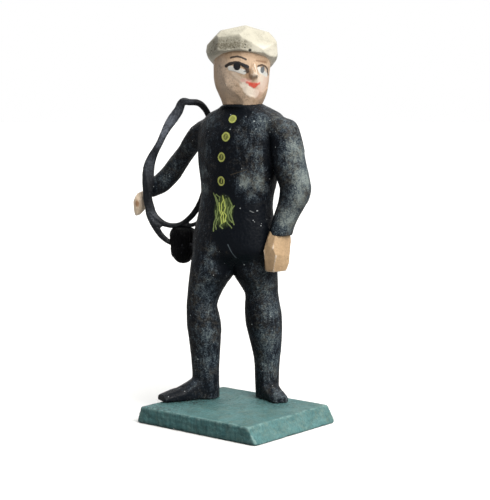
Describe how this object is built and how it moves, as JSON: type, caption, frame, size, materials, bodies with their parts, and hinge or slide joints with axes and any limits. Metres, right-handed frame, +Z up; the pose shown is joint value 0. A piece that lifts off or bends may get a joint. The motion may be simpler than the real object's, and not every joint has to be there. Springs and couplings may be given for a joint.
{
  "type": "carved chimney sweep nativity figure",
  "caption": "Carved and painted wooden figure of a walking chimney sweep on a slope-ended plinth, a coil of rope threaded on one arm and a brush hanging from it.",
  "frame": {"origin": "middle of the plinth's top outline, on its underside", "axes": "+Z up, -Y the way the figure's chest faces, +X its left hand"},
  "size_m": [0.0593, 0.034, 0.105],
  "materials": {
    "figure_paint": "painted, rubbed satin; cream cap, flesh face and hands",
    "plinth_paint": "painted, worn matt",
    "rope_paint": "painted black, satin",
    "brush_hair": "painted black, rough"
  },
  "bodies": {
    "root": {"figure": "figure_paint", "plinth": "plinth_paint", "rope_coil": "rope_paint", "sweeps_brush": "brush_hair"}
  },
  "joints": []
}
